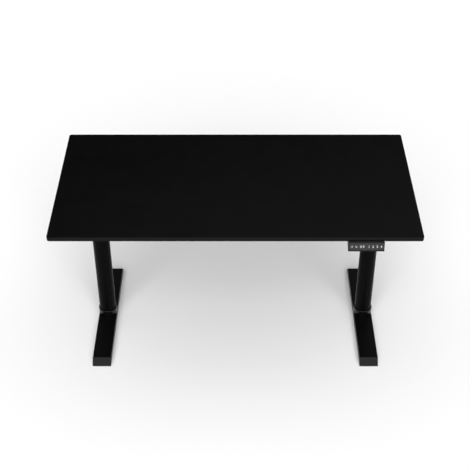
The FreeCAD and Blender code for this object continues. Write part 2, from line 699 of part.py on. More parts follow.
def tabletop():
    x, y = TOP_WIDTH / 2, TOP_DEPTH / 2
    board = round_upright(block(-x, x, -y, y, TOP_UNDER, REST_HEIGHT), TOP_CORNER_R)
    rims = [e for e in board.Edges if e.BoundBox.ZLength < 1e-6]
    board = board.makeFillet(TOP_EDGE_R, rims)
    cuts = [post(SCREW_R, TOP_UNDER, TOP_UNDER + SCREW_DEPTH, px, py)
            for px, py in top_screw_places()]
    cuts += [post(SMALL_SCREW_R, TOP_UNDER, TOP_UNDER + SCREW_DEPTH, px, py)
             for px, py in small_screw_holes()]
    return without(board, cuts)


def screw(x, y, seat, radius, head_r):
    """Pan-head wood screw driven upwards into the worktop."""
    head = post(head_r, seat - SCREW_HEAD, seat, x, y)
    head = head.makeFillet(1.0, [e for e in head.Edges
                                 if len(e.Vertexes) == 1 and e.BoundBox.ZMax < seat - 1])
    return joined([head, post(radius, seat, TOP_UNDER + SCREW_DEPTH, x, y)])


def top_screws():
    seat = FRAME_TOP - RAIL_WALL
    solids = [screw(x, y, seat, SCREW_R, SCREW_HEAD_R) for x, y in top_screw_places()]
    solids += [screw(x, y, LID_LOW, SMALL_SCREW_R, SMALL_SCREW_HEAD_R)
               for x, y in lid_screw_places()]
    ear_low = TOP_UNDER - HANDSET_EAR_THICK
    solids += [screw(x, y, ear_low, SMALL_SCREW_R, SMALL_SCREW_HEAD_R)
               for x, y in handset_screw_places()]
    return solids


def isolation_pads():
    return [ring(PAD_R, SCREW_R, FRAME_TOP, TOP_UNDER, x, y) for x, y in top_screw_places()]


# ---- control box

def control_box_shell():
    hx, hy, wall = BOX_HALF_LEN, BOX_HALF_DEPTH, BOX_WALL
    tray = round_upright(block(-hx, hx, -hy, hy, BOX_LOW, LID_LOW), BOX_CORNER_R)
    tray = tray.makeFillet(1.5, [e for e in tray.Edges if e.BoundBox.ZMax < BOX_LOW + 1e-6])
    inside = block(-hx + wall, hx - wall, -hy + wall, hy - wall, BOX_LOW + wall, LID_LOW)
    tray = tray.cut(round_upright(inside, BOX_CORNER_R - wall))
    for sx in (-1, 1):
        for sy in (-1, 1):
            tray = tray.fuse(post(BOSS_R, BOX_LOW + wall, BOARD_Z,
                                  sx * (hx - BOSS_INSET), sy * (hy - BOSS_INSET)))
    cuts = [block(-hx, -hx + wall, INLET_Y - INLET_WIDTH / 2, INLET_Y + INLET_WIDTH / 2,
                  INLET_Z - INLET_HEIGHT / 2, INLET_Z + INLET_HEIGHT / 2)]
    for sx in (-1, 1):
        cuts.append(bar_x(MOTOR_CABLE_R, min(sx * hx, sx * (hx - wall)),
                          max(sx * hx, sx * (hx - wall)), WORM_OFFSET, CABLE_Z))
    cuts.append(bar_y(HANDSET_CABLE_R, -hy, -hy + wall, HANDSET_PORT_X, CABLE_Z))
    first = -SLOT_PITCH * (SLOT_COUNT - 1) / 2
    for i in range(SLOT_COUNT):
        x = first + SLOT_PITCH * i - SLOT_WIDTH / 2
        cuts.append(block(x, x + SLOT_WIDTH, hy - wall, hy,
                          BOX_LOW + SLOT_MARGIN, LID_LOW - SLOT_MARGIN))
    return without(tray, cuts)


def control_box_lid():
    hx = BOX_HALF_LEN + BOX_EAR
    lid = block(-hx, hx, -BOX_HALF_DEPTH, BOX_HALF_DEPTH, LID_LOW, TOP_UNDER)
    return without(round_upright(lid, BOX_CORNER_R), [post(SMALL_SCREW_R, LID_LOW, TOP_UNDER, x, y)
                         for x, y in lid_screw_places()])


def control_box_circuit():
    """Circuit board with its transformer, capacitors, relays and heat sink."""
    top = BOARD_TOP
    hx, hy = BOX_HALF_LEN - BOARD_MARGIN, BOX_HALF_DEPTH - BOARD_MARGIN
    parts = [block(-hx, hx, -hy, hy, BOARD_Z, top)]
    parts.append(block(-60, -20, -20, 20, top, top + 18))
    parts.append(block(-10, -4, -32, 32, top, top + 18))
    for i in range(3):
        parts.append(post(8.0, top, top + 17, 20 + 22 * i, 22))
    for i in range(4):
        parts.append(block(10 + 20 * i, 24 + 20 * i, -12, 0, top, top + 13))
    parts.append(block(HANDSET_PORT_X - 9, HANDSET_PORT_X + 9, -hy, -hy + 12, top, top + 9))
    return joined(parts)


def mains_inlet():
    """Appliance inlet with its three pins and snap-in flange."""
    x, y, z = -BOX_HALF_LEN, INLET_Y, INLET_Z
    mouth, back = x - INLET_FLANGE_THICK, x + INLET_DEPTH - SOCKET_FLOOR

    def slab(x0, x1, width, height):
        return block(x0, x1, y - width / 2, y + width / 2, z - height / 2, z + height / 2)

    body = slab(x, x + INLET_DEPTH, INLET_WIDTH, INLET_HEIGHT)
    flange = slab(mouth, x, INLET_WIDTH + 2 * INLET_FLANGE, INLET_HEIGHT + 2 * INLET_FLANGE)
    shape = joined([body, flange]).cut(slab(mouth, back, SOCKET_WIDTH, SOCKET_HEIGHT))
    pins = []
    for dy, dz in PIN_PLACES:
        pin = slab(x + PIN_SETBACK, back + 1, PIN_THICK, PIN_WIDTH)
        pin.translate(Vec(0, dy, dz))
        pins.append(pin)
    return joined([shape] + pins)


# ---- handset

def on_face(shape):
    """Moves a piece drawn flat (x across, y up, z out) onto the handset's sloping face."""
    shape = shape.copy()
    shape.rotate(Vec(0, 0, 0), Vec(1, 0, 0), FACE_TILT)
    shape.translate(Vec(HANDSET_X, HANDSET_LOW_Y, HANDSET_LOW_Z))
    return shape


def rounded_plate(cx, cy, width, height, z0, z1, radius):
    plate = block(cx - width / 2, cx + width / 2, cy - height / 2, cy + height / 2, z0, z1)
    return round_upright(plate, radius)


def face_plate(ledge, z0, z1):
    """Plate or recess inside the handset's rims, smaller by a ledge all round."""
    width = HANDSET_WIDTH - 2 * (HANDSET_RIM + ledge)
    height = FACE_LEN - HANDSET_RIM - HANDSET_LOW_RIM - 2 * ledge
    return rounded_plate(0, FACE_MID, width, height, z0, z1, PANEL_CORNER_R)


def handset_case():
    x0 = HANDSET_X - HANDSET_WIDTH / 2
    back = FRONT_Y + HANDSET_BODY
    ear_low = TOP_UNDER - HANDSET_EAR_THICK
    outline = [(x0, FRONT_Y - HANDSET_TOP_REACH, TOP_UNDER),
               (x0, HANDSET_LOW_Y, HANDSET_LOW_Z),
               (x0, HANDSET_LOW_Y + HANDSET_CHIN, HANDSET_LOW_Z - HANDSET_CHIN_DROP),
               (x0, back, HANDSET_LOW_Z + HANDSET_REAR_RISE),
               (x0, back, ear_low),
               (x0, FRONT_Y + HANDSET_EAR, ear_low),
               (x0, FRONT_Y + HANDSET_EAR, TOP_UNDER)]
    body = prism(outline, (HANDSET_WIDTH, 0, 0))
    panel = face_plate(0, -PANEL_THICK, PANEL_THICK)
    cavity = face_plate(PANEL_LEDGE, -CAVITY_DEPTH, -PANEL_THICK)
    cuts = [on_face(panel), on_face(cavity)]
    cuts += [post(SMALL_SCREW_R, ear_low, TOP_UNDER, x, y) for x, y in handset_screw_places()]
    cuts.append(bar_y(HANDSET_CABLE_R, FRONT_Y + 6, back, HANDSET_X, CABLE_Z))
    return without(body, cuts)


def handset_panel():
    plate = face_plate(0, -PANEL_THICK, 0)
    for x in KEYS.values():
        hole = rounded_plate(x, FACE_MID, KEY_WIDTH + 2 * RUN_GAP, KEY_HEIGHT + 2 * RUN_GAP,
                             -PANEL_THICK, 0, KEY_CORNER_R + RUN_GAP)
        plate = plate.cut(hole)
    window = rounded_plate(DISPLAY_X, FACE_MID, DISPLAY_WIDTH, DISPLAY_HEIGHT,
                           -PANEL_THICK, 0, DISPLAY_CORNER_R)
    return on_face(plate.cut(window))


def handset_display():
    """Display block on its circuit board behind the panel."""
    board_top = -CAVITY_DEPTH + CIRCUIT_LIFT + BOARD_THICK
    board = face_plate(PANEL_LEDGE, board_top - BOARD_THICK, board_top)
    digits = rounded_plate(DISPLAY_X, FACE_MID, DISPLAY_WIDTH, DISPLAY_HEIGHT,
                           board_top, -DISPLAY_SUNK, DISPLAY_CORNER_R)
    return on_face(joined([board, digits]))


def key(x):
    """Key cap with the lip that keeps it in and the stem that meets the circuit board."""
    lip_top = -PANEL_THICK - RUN_GAP
    lip_low = lip_top - KEY_LIP_THICK
    cap = rounded_plate(x, FACE_MID, KEY_WIDTH, KEY_HEIGHT, lip_low, KEY_PROUD, KEY_CORNER_R)
    lip = rounded_plate(x, FACE_MID, KEY_WIDTH + 2 * KEY_LIP, KEY_HEIGHT + 2 * KEY_LIP,
                        lip_low, lip_top, KEY_CORNER_R)
    stem_low = -CAVITY_DEPTH + CIRCUIT_LIFT + BOARD_THICK + KEY_TRAVEL + RUN_GAP
    stem = post(KEY_STEM_R, stem_low, lip_low, x, FACE_MID)
    return on_face(joined([cap, lip, stem]))


# ---- cables

def cable(points, radius, bend):
    """Round cable of straight runs and tangent arcs."""
    pts = [Vec(*p) for p in points]
    edges = []
    start = pts[0]
    for before, corner, after in zip(pts, pts[1:], pts[2:]):
        way_in = (corner - before).normalize()
        way_out = (after - corner).normalize()
        turn = way_in.getAngle(way_out)
        reach = bend * math.tan(turn / 2)
        arc_in = corner - way_in * reach
        arc_out = corner + way_out * reach
        middle = (way_out - way_in).normalize()
        arc_mid = corner + middle * (bend / math.cos(turn / 2) - bend)
        edges.append(Part.makeLine(start, arc_in))
        edges.append(Part.Arc(arc_in, arc_mid, arc_out).toShape())
        start = arc_out
    edges.append(Part.makeLine(start, pts[-1]))
    path = Part.Wire(edges)
    section = Part.Wire([Part.makeCircle(radius, pts[0], (pts[1] - pts[0]))])
    tube = path.makePipeShell([section], True, False)
    drift = tube.Volume / (math.pi * radius ** 2 * path.Length) - 1
    print("cable length", round(path.Length, 1), "bend", bend, "volume drift", round(drift, 6))
    return tube


def handset_cable():
    rear = FRONT_Y + HANDSET_BODY
    return cable([(HANDSET_X, rear - HANDSET_RIM, CABLE_Z), (HANDSET_X, CABLE_RUN_Y, CABLE_Z),
                  (HANDSET_PORT_X, CABLE_RUN_Y, CABLE_Z),
                  (HANDSET_PORT_X, -BOX_HALF_DEPTH + BOX_WALL, CABLE_Z)],
                 HANDSET_CABLE_R, CABLE_BEND)


def motor_cable():
    rise = CABLE_Z - WORM_Z
    x = HEAD_X0 - CABLE_LEAD_OUT
    return cable([(MOTOR_END, WORM_OFFSET, WORM_Z), (x, WORM_OFFSET, WORM_Z),
                  (x - rise, WORM_OFFSET, CABLE_Z),
                  (BOX_HALF_LEN - BOX_WALL, WORM_OFFSET, CABLE_Z)],
                 MOTOR_CABLE_R, CABLE_BEND)


def between(start, end, count):
    """Evenly spaced places strictly between two ends."""
    return [start + (end - start) * (i + 1) / (count + 1) for i in range(count)]


def clip(x, y, radius, along):
    """Stick-on cable clip under the worktop, its eye along X or Y."""
    half = CLIP_SIZE / 2
    body = block(x - half, x + half, y - half, y + half, CABLE_Z - radius - CLIP_LIP, TOP_UNDER)
    if along == "x":
        return body.cut(bar_x(radius, x - half, x + half, y, CABLE_Z))
    return body.cut(bar_y(radius, y - half, y + half, x, CABLE_Z))


def cable_clips():
    """Clips under the worktop and the rubber sleeves where cables cross steel."""
    ear_end = FRONT_Y + HANDSET_EAR
    bend = CABLE_BEND
    solids = [clip(HANDSET_X, y, HANDSET_CABLE_R, "y")
              for y in between(ear_end, CABLE_RUN_Y - bend, 2)]
    solids += [clip(x, CABLE_RUN_Y, HANDSET_CABLE_R, "x")
               for x in between(HANDSET_PORT_X + bend, HANDSET_X - bend, 2)]
    for x in between(BOX_HALF_LEN, HEAD_X0 - CABLE_LEAD_OUT - 2 * bend, 2):
        piece = clip(x, WORM_OFFSET, MOTOR_CABLE_R, "x")
        solids += [piece, mirrored(piece)]
    x0, x1 = HEAD_X0, HEAD_X0 + HEAD_WALL
    sleeve = bar_x(MOTOR_CABLE_R + SLEEVE_WALL, x0, x1, WORM_OFFSET, WORM_Z)
    sleeve = sleeve.cut(bar_x(MOTOR_CABLE_R, x0, x1, WORM_OFFSET, WORM_Z))
    y0, y1 = -HEAD_HALF_DEPTH - RAIL_WALL, -HEAD_HALF_DEPTH
    eye = bar_y(HANDSET_CABLE_R + SLEEVE_WALL, y0, y1, HANDSET_PORT_X, CABLE_Z)
    eye = eye.cut(bar_y(HANDSET_CABLE_R, y0, y1, HANDSET_PORT_X, CABLE_Z))
    return solids + [sleeve, mirrored(sleeve), eye]


def build():
    os.makedirs("parts", exist_ok=True)
    save_pair("foot_beam", foot_beam)
    save_pair("column_bolts", column_bolts)
    save_pair("outer_tube", outer_tube)
    save_pair("column_skirt", column_skirt)
    save_pair("top_bush", top_bush)
    save_pair("push_tube", push_tube)
    save_pair("drive_nut", drive_nut)
    for place, y in glide_stations().items():
        save_pair(place + "_glide", lambda: glide(y))

    save("tabletop", [tabletop()])
    save("top_screws", top_screws())
    save("isolation_pads", isolation_pads())
    save("front_crossbar", [crossbar(-1, [HANDSET_PORT_X])])
    save("rear_crossbar", [crossbar(1, [])])
    save_pair("side_arm", side_arm)
    save_pair("head_box", head_box)
    save_both("head_covers", [head_cover()])
    save_both("frame_bolts", frame_bolts())

    save_pair("inner_tube", inner_tube)
    save_both("inner_tube_glides", [inner_tube_glide()])
    save_pair("gearbox_housing", gearbox_housing)
    save_both("gearbox_lids", [gearbox_lid()])
    save_both("gearbox_bearings", bearings())
    save_pair("motor_can", motor_can)
    save_pair("motor_rotor", motor_rotor)
    save_pair("spindle", spindle)
    save_pair("worm_wheel", worm_wheel)

    save("control_box_shell", [control_box_shell()])
    save("control_box_lid", [control_box_lid()])
    save("control_box_circuit", [control_box_circuit()])
    save("mains_inlet", [mains_inlet()])

    save("handset_case", [handset_case()])
    save("handset_panel", [handset_panel()])
    save("handset_display", [handset_display()])
    for name, x in KEYS.items():
        save(name, [key(x)])
    save("handset_cable", [handset_cable()])
    save_both("motor_cables", [motor_cable()])
    save("cable_clips", cable_clips())


build()
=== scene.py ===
import json
import math

import bpy
from mathutils import Matrix, Vector


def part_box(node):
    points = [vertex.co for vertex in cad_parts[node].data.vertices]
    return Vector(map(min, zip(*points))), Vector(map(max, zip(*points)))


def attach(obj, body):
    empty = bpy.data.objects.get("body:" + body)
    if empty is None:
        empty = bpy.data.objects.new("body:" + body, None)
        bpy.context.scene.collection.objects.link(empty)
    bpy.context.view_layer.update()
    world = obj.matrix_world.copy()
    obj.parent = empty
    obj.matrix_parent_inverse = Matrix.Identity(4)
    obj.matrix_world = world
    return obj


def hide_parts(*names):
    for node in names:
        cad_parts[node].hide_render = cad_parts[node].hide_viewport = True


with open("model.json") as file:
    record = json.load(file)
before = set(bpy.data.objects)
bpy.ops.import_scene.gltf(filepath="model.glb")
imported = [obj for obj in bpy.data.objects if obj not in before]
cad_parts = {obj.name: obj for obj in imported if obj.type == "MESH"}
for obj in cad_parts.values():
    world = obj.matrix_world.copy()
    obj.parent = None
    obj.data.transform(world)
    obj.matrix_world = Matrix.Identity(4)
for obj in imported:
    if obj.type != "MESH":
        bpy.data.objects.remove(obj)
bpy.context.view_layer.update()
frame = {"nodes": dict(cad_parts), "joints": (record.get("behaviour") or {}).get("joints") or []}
nodes = frame["nodes"]
print("frame loaded:", len(nodes), "nodes")


# finishes: a small shader kit

class Reading:
    # one socket in a finish, so that shader sums are written as sums
    def __init__(self, finish, socket):
        self.finish = finish
        self.socket = socket

    def __add__(self, other):
        return self.finish.reckon("ADD", self, other)

    def __sub__(self, other):
        return self.finish.reckon("SUBTRACT", self, other)

    def __mul__(self, other):
        return self.finish.reckon("MULTIPLY", self, other)

    def __rsub__(self, other):
        return self.finish.reckon("SUBTRACT", other, self)

    __radd__ = __add__
    __rmul__ = __mul__


class Finish:
    # one material's nodes, or the room's, built up by calls
    def __init__(self, name, room=None):
        self.material = room or bpy.data.materials.new(name)
        self.material.use_nodes = True
        self.tree = self.material.node_tree
        self.shader = self.tree.nodes.get("Principled BSDF")

    def feed(self, socket, value):
        if isinstance(value, Reading):
            self.tree.links.new(value.socket, socket)
        else:
            socket.default_value = value

    def node(self, kind, settings=None, values=None, output=0):
        made = self.tree.nodes.new(kind)
        for name, value in (settings or {}).items():
            setattr(made, name, value)
        for name, value in (values or {}).items():
            self.feed(made.inputs[name], value)
        return Reading(self, made.outputs[output])

    def reckon(self, operation, first, second=0.0):
        return self.node("ShaderNodeMath", {"operation": operation}, {0: first, 1: second})

    def place(self):
        return self.node("ShaderNodeTexCoord", output="Object")

    def axes(self):
        parts = self.node("ShaderNodeSeparateXYZ", values={0: self.place()}).socket.node
        return [Reading(self, parts.outputs[axis]) for axis in "XYZ"]

    def stretched(self, scale):
        return self.node("ShaderNodeMapping", values={"Vector": self.place(), "Scale": scale})

    def noise(self, size, detail=3.0, rough=0.5, vector=None):
        # size is the width of one patch, in metres
        return self.node("ShaderNodeTexNoise", values={
            "Vector": vector or self.place(), "Scale": 1 / size, "Detail": detail, "Roughness": rough})

    def cells(self, size):
        return self.node("ShaderNodeTexVoronoi", values={"Vector": self.place(), "Scale": 1 / size})

    def spread(self, reading, low, high, toLow=0.0, toHigh=1.0):
        return self.node("ShaderNodeMapRange", values={
            "Value": reading, "From Min": low, "From Max": high, "To Min": toLow, "To Max": toHigh})

    def blend(self, mask, first, second):
        # sockets 0, 6 and 7 of a colour mix are its factor and its two colours
        mixed = self.tree.nodes.new("ShaderNodeMix")
        mixed.data_type = "RGBA"
        for place, value in ((0, mask), (6, first), (7, second)):
            self.feed(mixed.inputs[place], value)
        return Reading(self, mixed.outputs[2])

    def bump(self, height, depth, strength=1.0, under=None):
        values = {"Height": height, "Distance": depth, "Strength": strength}
        if under:
            values["Normal"] = under
        return self.node("ShaderNodeBump", values=values)

    def wear(self, **sockets):
        for name, value in sockets.items():
            self.feed(self.shader.inputs[name.replace("_", " ")], value)
        return self.material


neutral = (1.0, 1.0, 1.0)


def grey(level, tint=neutral):
    return (level * tint[0], level * tint[1], level * tint[2], 1.0)


# camera, floor and lamps

# dip is how far it looks down from level, in degrees
cameraLook = {"place": (0.0, -3.3175, 3.0922), "dip": 38.52, "lens": 78.81, "sensor": 36.0,
              "shift": -0.0006, "reach": 200.0}
# tilt is from straight overhead towards the user, width is the spread of the soft light, in degrees
lampLooks = {
    "frontLamp": {"tilt": 45.0, "width": 60.0, "strength": 0.85},
    "lowLamp": {"tilt": 60.0, "width": 60.0, "strength": 3.3},
    "overheadLamp": {"tilt": 0.0, "width": 85.0, "strength": 1.5},
}
roomLook = {"floorHalf": 60.0, "floorShade": 0.86, "seen": 1.0, "lightFrom": (0.2, 0.0, 0.98),
            "glowStart": 0.53, "dark": 0.0, "glow": 1.6}


def makeCamera():
    look = cameraLook
    camera = bpy.data.objects.new("deskCamera", bpy.data.cameras.new("deskCamera"))
    camera.data.lens = look["lens"]
    camera.data.sensor_width = look["sensor"]
    camera.data.shift_x = look["shift"]
    camera.data.clip_end = look["reach"]
    camera.location = look["place"]
    camera.rotation_euler = (math.radians(90 - look["dip"]), 0.0, 0.0)
    bpy.context.scene.collection.objects.link(camera)
    bpy.context.scene.camera = camera


def makeLamps():
    for name, look in lampLooks.items():
        lamp = bpy.data.lights.new(name, "SUN")
        lamp.energy = look["strength"]
        lamp.angle = math.radians(look["width"])
        holder = bpy.data.objects.new(name, lamp)
        holder.rotation_euler = (math.radians(look["tilt"]), 0.0, 0.0)
        bpy.context.scene.collection.objects.link(holder)


def makeRoom():
    look = roomLook
    world = bpy.data.worlds.new("paleRoom")
    bpy.context.scene.world = world
    room = Finish("paleRoom", world)
    # what the desk mirrors is a dark room that grows lighter overhead, a little to the right
    towards = room.node("ShaderNodeTexCoord", output="Generated")
    rise = room.node("ShaderNodeVectorMath", {"operation": "DOT_PRODUCT"},
                     {0: towards, 1: Vector(look["lightFrom"]).normalized()}, "Value")
    glow = room.spread(rise, look["glowStart"], 1.0, look["dark"], look["glow"])
    # only mirrored rays see that glow, so it adds no light of its own to the floor
    glossy = room.node("ShaderNodeLightPath", output="Is Glossy Ray")
    mirrored = room.node("ShaderNodeBackground", values={"Strength": glow * glossy})
    seen = room.node("ShaderNodeBackground", values={"Color": grey(1.0), "Strength": look["seen"]})
    straight = room.node("ShaderNodeLightPath", output="Is Camera Ray")
    chosen = room.node("ShaderNodeMixShader", values={0: straight, 1: mirrored, 2: seen})
    room.feed(room.tree.nodes["World Output"].inputs["Surface"], chosen)
    bpy.ops.mesh.primitive_plane_add(size=2 * look["floorHalf"])
    floor = bpy.context.object
    floor.name = "studioFloor"
    paper = Finish("palePaper")
    paper.wear(Base_Color=grey(look["floorShade"]), Roughness=1.0, Specular_IOR_Level=0.0)
    floor.data.materials.append(paper.material)


bpy.context.scene.view_settings.view_transform = "Standard"
makeCamera()
makeLamps()
makeRoom()
print("camera, lamps and floor are set")


# finishes of the desk

# seam is how far the edge band stops short of the board's upper and lower faces
laminateLook = {"shade": 0.0022, "edgeShade": 0.0026, "tint": (1.0, 1.0, 1.04), "gloss": 0.16, "ior": 1.2,
                "grain": 0.0006, "grainStretch": (0.35, 1.0, 1.0), "depth": 0.000004,
                "cloud": 0.22, "smudge": 0.07, "seam": 0.0008, "seamEnd": 0.0006}


def makeLaminate():
    look = laminateLook
    low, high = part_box("tabletop")
    finish = Finish("blackLaminate")
    height = finish.axes()[2]
    pores = finish.noise(look["grain"], 4.0, 0.6, finish.stretched(look["grainStretch"]))
    cloud = finish.noise(look["cloud"], 2.0)
    smudge = finish.spread(finish.noise(look["smudge"], 4.0, 0.65), 0.42, 0.7)
    overall = finish.blend(cloud, grey(look["shade"] * 0.85), grey(look["shade"] * 1.2, look["tint"]))
    # the edge band's seam runs just inside the rounded edge, above and below
    middle = (low.z + high.z) / 2
    half = (high.z - low.z) / 2
    fromMiddle = finish.reckon("ABSOLUTE", height - middle)
    isEdge = finish.spread(fromMiddle, half - look["seam"], half - look["seamEnd"], 1.0, 0.0)
    colour = finish.blend(isEdge, overall, grey(look["edgeShade"]))
    rough = look["gloss"] + pores * 0.1 - smudge * 0.05 + isEdge * 0.02
    return finish.wear(Base_Color=colour, Roughness=rough, IOR=look["ior"],
                       Normal=finish.bump(pores, look["depth"], 0.5))


# what all paints share: waves left by the spray, slow clouds, and pale tips of the powder's nubs
sprayLook = {"wave": 0.012, "waveDepth": 0.00006, "cloud": 0.09, "paleShare": 1.9}


def makePaint(look):
    finish = Finish(look["name"])
    nubs = finish.noise(look["nub"], 3.0, 0.55)
    waves = finish.noise(sprayLook["wave"], 2.0)
    cloud = finish.noise(sprayLook["cloud"], 3.0)
    pale = finish.spread(nubs, 0.62, 0.78)
    colour = finish.blend(pale, grey(look["shade"]), grey(look["shade"] * sprayLook["paleShare"]))
    rough = look["gloss"] + (cloud - 0.5) * 0.12 + pale * 0.06
    relief = finish.bump(nubs, look["depth"], 0.6, finish.bump(waves, sprayLook["waveDepth"], 0.35))
    return finish.wear(Base_Color=colour, Roughness=rough, IOR=look["ior"], Coat_Weight=look["coat"],
                       Coat_IOR=look["coatIor"], Coat_Roughness=look["coatRough"], Normal=relief)


# the width of one patch of the sheen that handling leaves on plastic
sheenWide = 0.03


def makePlastic(look):
    finish = Finish(look["name"])
    # spark-eroded mould texture: small cells, and a little handling sheen
    cells = finish.cells(look["cell"])
    sheen = finish.noise(sheenWide, 3.0, 0.6)
    tint = look.get("tint", neutral)
    colour = finish.blend(sheen, grey(look["shade"] * 0.9, tint), grey(look["shade"] * 1.12, tint))
    if "rubbed" in look:
        # painted light: the upper rim is painted paler towards its top, a painted highlight standing in
        # for the light that falls on the handset's top ledge
        wearAndPaintedLight = finish.spread(finish.axes()[2], look["rubTop"] - look["rubDeep"], look["rubTop"])
        colour = finish.blend(wearAndPaintedLight, colour, grey(look["rubbed"], tint))
    rough = look["gloss"] + (sheen - 0.5) * 0.14
    return finish.wear(Base_Color=colour, Roughness=rough, Specular_IOR_Level=look["specular"],
                       Normal=finish.bump(cells, look["depth"], 0.5))


# the width of one dull patch on metal
dullWide = 0.018


def makeMetal(look):
    finish = Finish(look["name"])
    # drawn or turned marks run along the stretched axes, with dull patches of handling
    marks = finish.noise(look["mark"], 4.0, 0.6, finish.stretched(look["stretch"]))
    dull = finish.spread(finish.noise(dullWide, 4.0, 0.6), 0.4, 0.75)
    tint = look.get("tint", neutral)
    colour = finish.blend(dull, grey(look["shade"], tint), grey(look["shade"] * 0.7, tint))
    rough = look["gloss"] + (marks - 0.5) * 0.2 + dull * 0.15
    return finish.wear(Base_Color=colour, Roughness=rough, Metallic=1.0,
                       Normal=finish.bump(marks, look["depth"], 0.4))


paintLooks = {
    "foot_paint": {
        "name": "footPaint", "shade": 0.0022, "gloss": 0.3, "ior": 1.15,
        "coat": 0.0, "coatIor": 1.2, "coatRough": 0.3, "nub": 0.0007, "depth": 0.00001},
    "column_paint": {
        "name": "columnPaint", "shade": 0.0022, "gloss": 0.28, "ior": 1.1,
        "coat": 0.0, "coatIor": 1.2, "coatRough": 0.3, "nub": 0.0007, "depth": 0.00001},
    "inner_column_paint": {
        "name": "innerColumnPaint", "shade": 0.003, "gloss": 0.25, "ior": 1.15,
        "coat": 0.3, "coatIor": 1.25, "coatRough": 0.2, "nub": 0.0006, "depth": 0.00001},
    "frame_paint": {
        "name": "framePaint", "shade": 0.004, "gloss": 0.45, "ior": 1.25,
        "coat": 0.2, "coatIor": 1.3, "coatRough": 0.35, "nub": 0.0009, "depth": 0.00003},
    "lid_metal": {
        "name": "lidPaint", "shade": 0.006, "gloss": 0.45, "ior": 1.25,
        "coat": 0.2, "coatIor": 1.3, "coatRough": 0.35, "nub": 0.0009, "depth": 0.00003},
}
plasticLooks = {
    "skirt_plastic": {"name": "collarPlastic", "shade": 0.0018, "gloss": 0.2, "specular": 0.25,
                      "cell": 0.0009, "depth": 0.000004},
    "bush_plastic": {"name": "slidePlastic", "shade": 0.012, "gloss": 0.35, "specular": 0.5,
                     "cell": 0.0009, "depth": 0.00001},
    "glide_plastic": {"name": "glidePlastic", "shade": 0.015, "gloss": 0.5, "specular": 0.4,
                      "cell": 0.0012, "depth": 0.00002},
    "pad_rubber": {"name": "softRubber", "shade": 0.012, "gloss": 0.75, "specular": 0.3,
                   "cell": 0.0007, "depth": 0.00003},
    "box_plastic": {"name": "boxPlastic", "shade": 0.012, "gloss": 0.5, "specular": 0.4,
                    "cell": 0.0010, "depth": 0.00003},
    "inlet_plastic": {"name": "inletPlastic", "shade": 0.014, "gloss": 0.38, "specular": 0.5,
                      "cell": 0.0009, "depth": 0.00001},
    # the handset case's top rim is painted paler: a painted highlight for the light on its ledge below the
    # worktop edge
    "handset_plastic": {"name": "handsetPlastic", "shade": 0.004, "gloss": 0.42, "specular": 0.14,
                        "cell": 0.0007, "depth": 0.00002,
                        "rubbed": 0.015, "rubDeep": 0.0005, "rubTop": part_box("handset_case")[1].z},
    "handset_face": {"name": "handsetFace", "shade": 0.016, "gloss": 0.34, "specular": 0.4,
                     "cell": 0.0005, "depth": 0.000006},
    "key_plastic": {"name": "keyPlastic", "shade": 0.013, "gloss": 0.36, "specular": 0.4,
                    "cell": 0.0005, "depth": 0.000006},
    "handset_glass": {"name": "displayWindow", "shade": 0.003, "gloss": 0.08, "specular": 0.5,
                      "cell": 0.002, "depth": 0.000001},
    "nut_plastic": {"name": "gearPlastic", "shade": 0.7, "tint": (1.0, 0.96, 0.86), "gloss": 0.4,
                    "specular": 0.5, "cell": 0.0008, "depth": 0.00001},
    "circuit_green": {"name": "boardLacquer", "shade": 0.06, "tint": (0.25, 1.0, 0.45), "gloss": 0.3,
                      "specular": 0.5, "cell": 0.0015, "depth": 0.00002},
    "cable_sleeve": {"name": "cableSleeve", "shade": 0.010, "gloss": 0.45, "specular": 0.4,
                     "cell": 0.0006, "depth": 0.00002},
}
steelTint = (0.97, 0.98, 1.0)
metalLooks = {
    "bolt_steel": {"name": "blackenedBolts", "shade": 0.08, "gloss": 0.38,
                   "mark": 0.0005, "stretch": (1.0, 1.0, 1.0), "depth": 0.00001},
    "plain_steel": {"name": "plainSteel", "shade": 0.5, "tint": steelTint, "gloss": 0.3,
                    "mark": 0.0004, "stretch": (1.0, 1.0, 0.08), "depth": 0.00001},
    "bearing_steel": {"name": "groundSteel", "shade": 0.6, "tint": steelTint, "gloss": 0.16,
                      "mark": 0.0003, "stretch": (1.0, 1.0, 1.0), "depth": 0.000004},
    "cast_metal": {"name": "castMetal", "shade": 0.36, "gloss": 0.55,
                   "mark": 0.0012, "stretch": (1.0, 1.0, 1.0), "depth": 0.00008},
    "motor_steel": {"name": "zincedSteel", "shade": 0.42, "tint": (1.0, 0.98, 0.93), "gloss": 0.34,
                    "mark": 0.0006, "stretch": (0.1, 1.0, 1.0), "depth": 0.00001},
    "rotor_steel": {"name": "rotorSteel", "shade": 0.4, "tint": steelTint, "gloss": 0.36,
                    "mark": 0.0005, "stretch": (1.0, 0.3, 0.3), "depth": 0.00002},
}


def finishBySlot():
    made = {"worktop": makeLaminate()}
    for looks, make in ((paintLooks, makePaint), (plasticLooks, makePlastic), (metalLooks, makeMetal)):
        for slot, look in looks.items():
            made[slot] = make(look)
    return made


finishes = finishBySlot()
for node in nodes.values():
    for slot in node.material_slots:
        slot.material = finishes[slot.material.name.split(".")[0]]
print("finishes made:", len(finishes))


# small steps that all the new pieces share

smoothAngle = 32.0


def clearPick():
    bpy.ops.object.select_all(action="DESELECT")


def pickOnly(piece):
    clearPick()
    piece.select_set(True)
    bpy.context.view_layer.objects.active = piece


def pickFaces(piece, wanted):
    # leaves the piece in edit mode with those faces selected
    bpy.ops.object.mode_set(mode="EDIT")
    bpy.ops.mesh.select_mode(type="FACE")
    bpy.ops.mesh.select_all(action="DESELECT")
    bpy.ops.object.mode_set(mode="OBJECT")
    for face in piece.data.polygons:
        face.select = wanted(face)
    bpy.ops.object.mode_set(mode="EDIT")


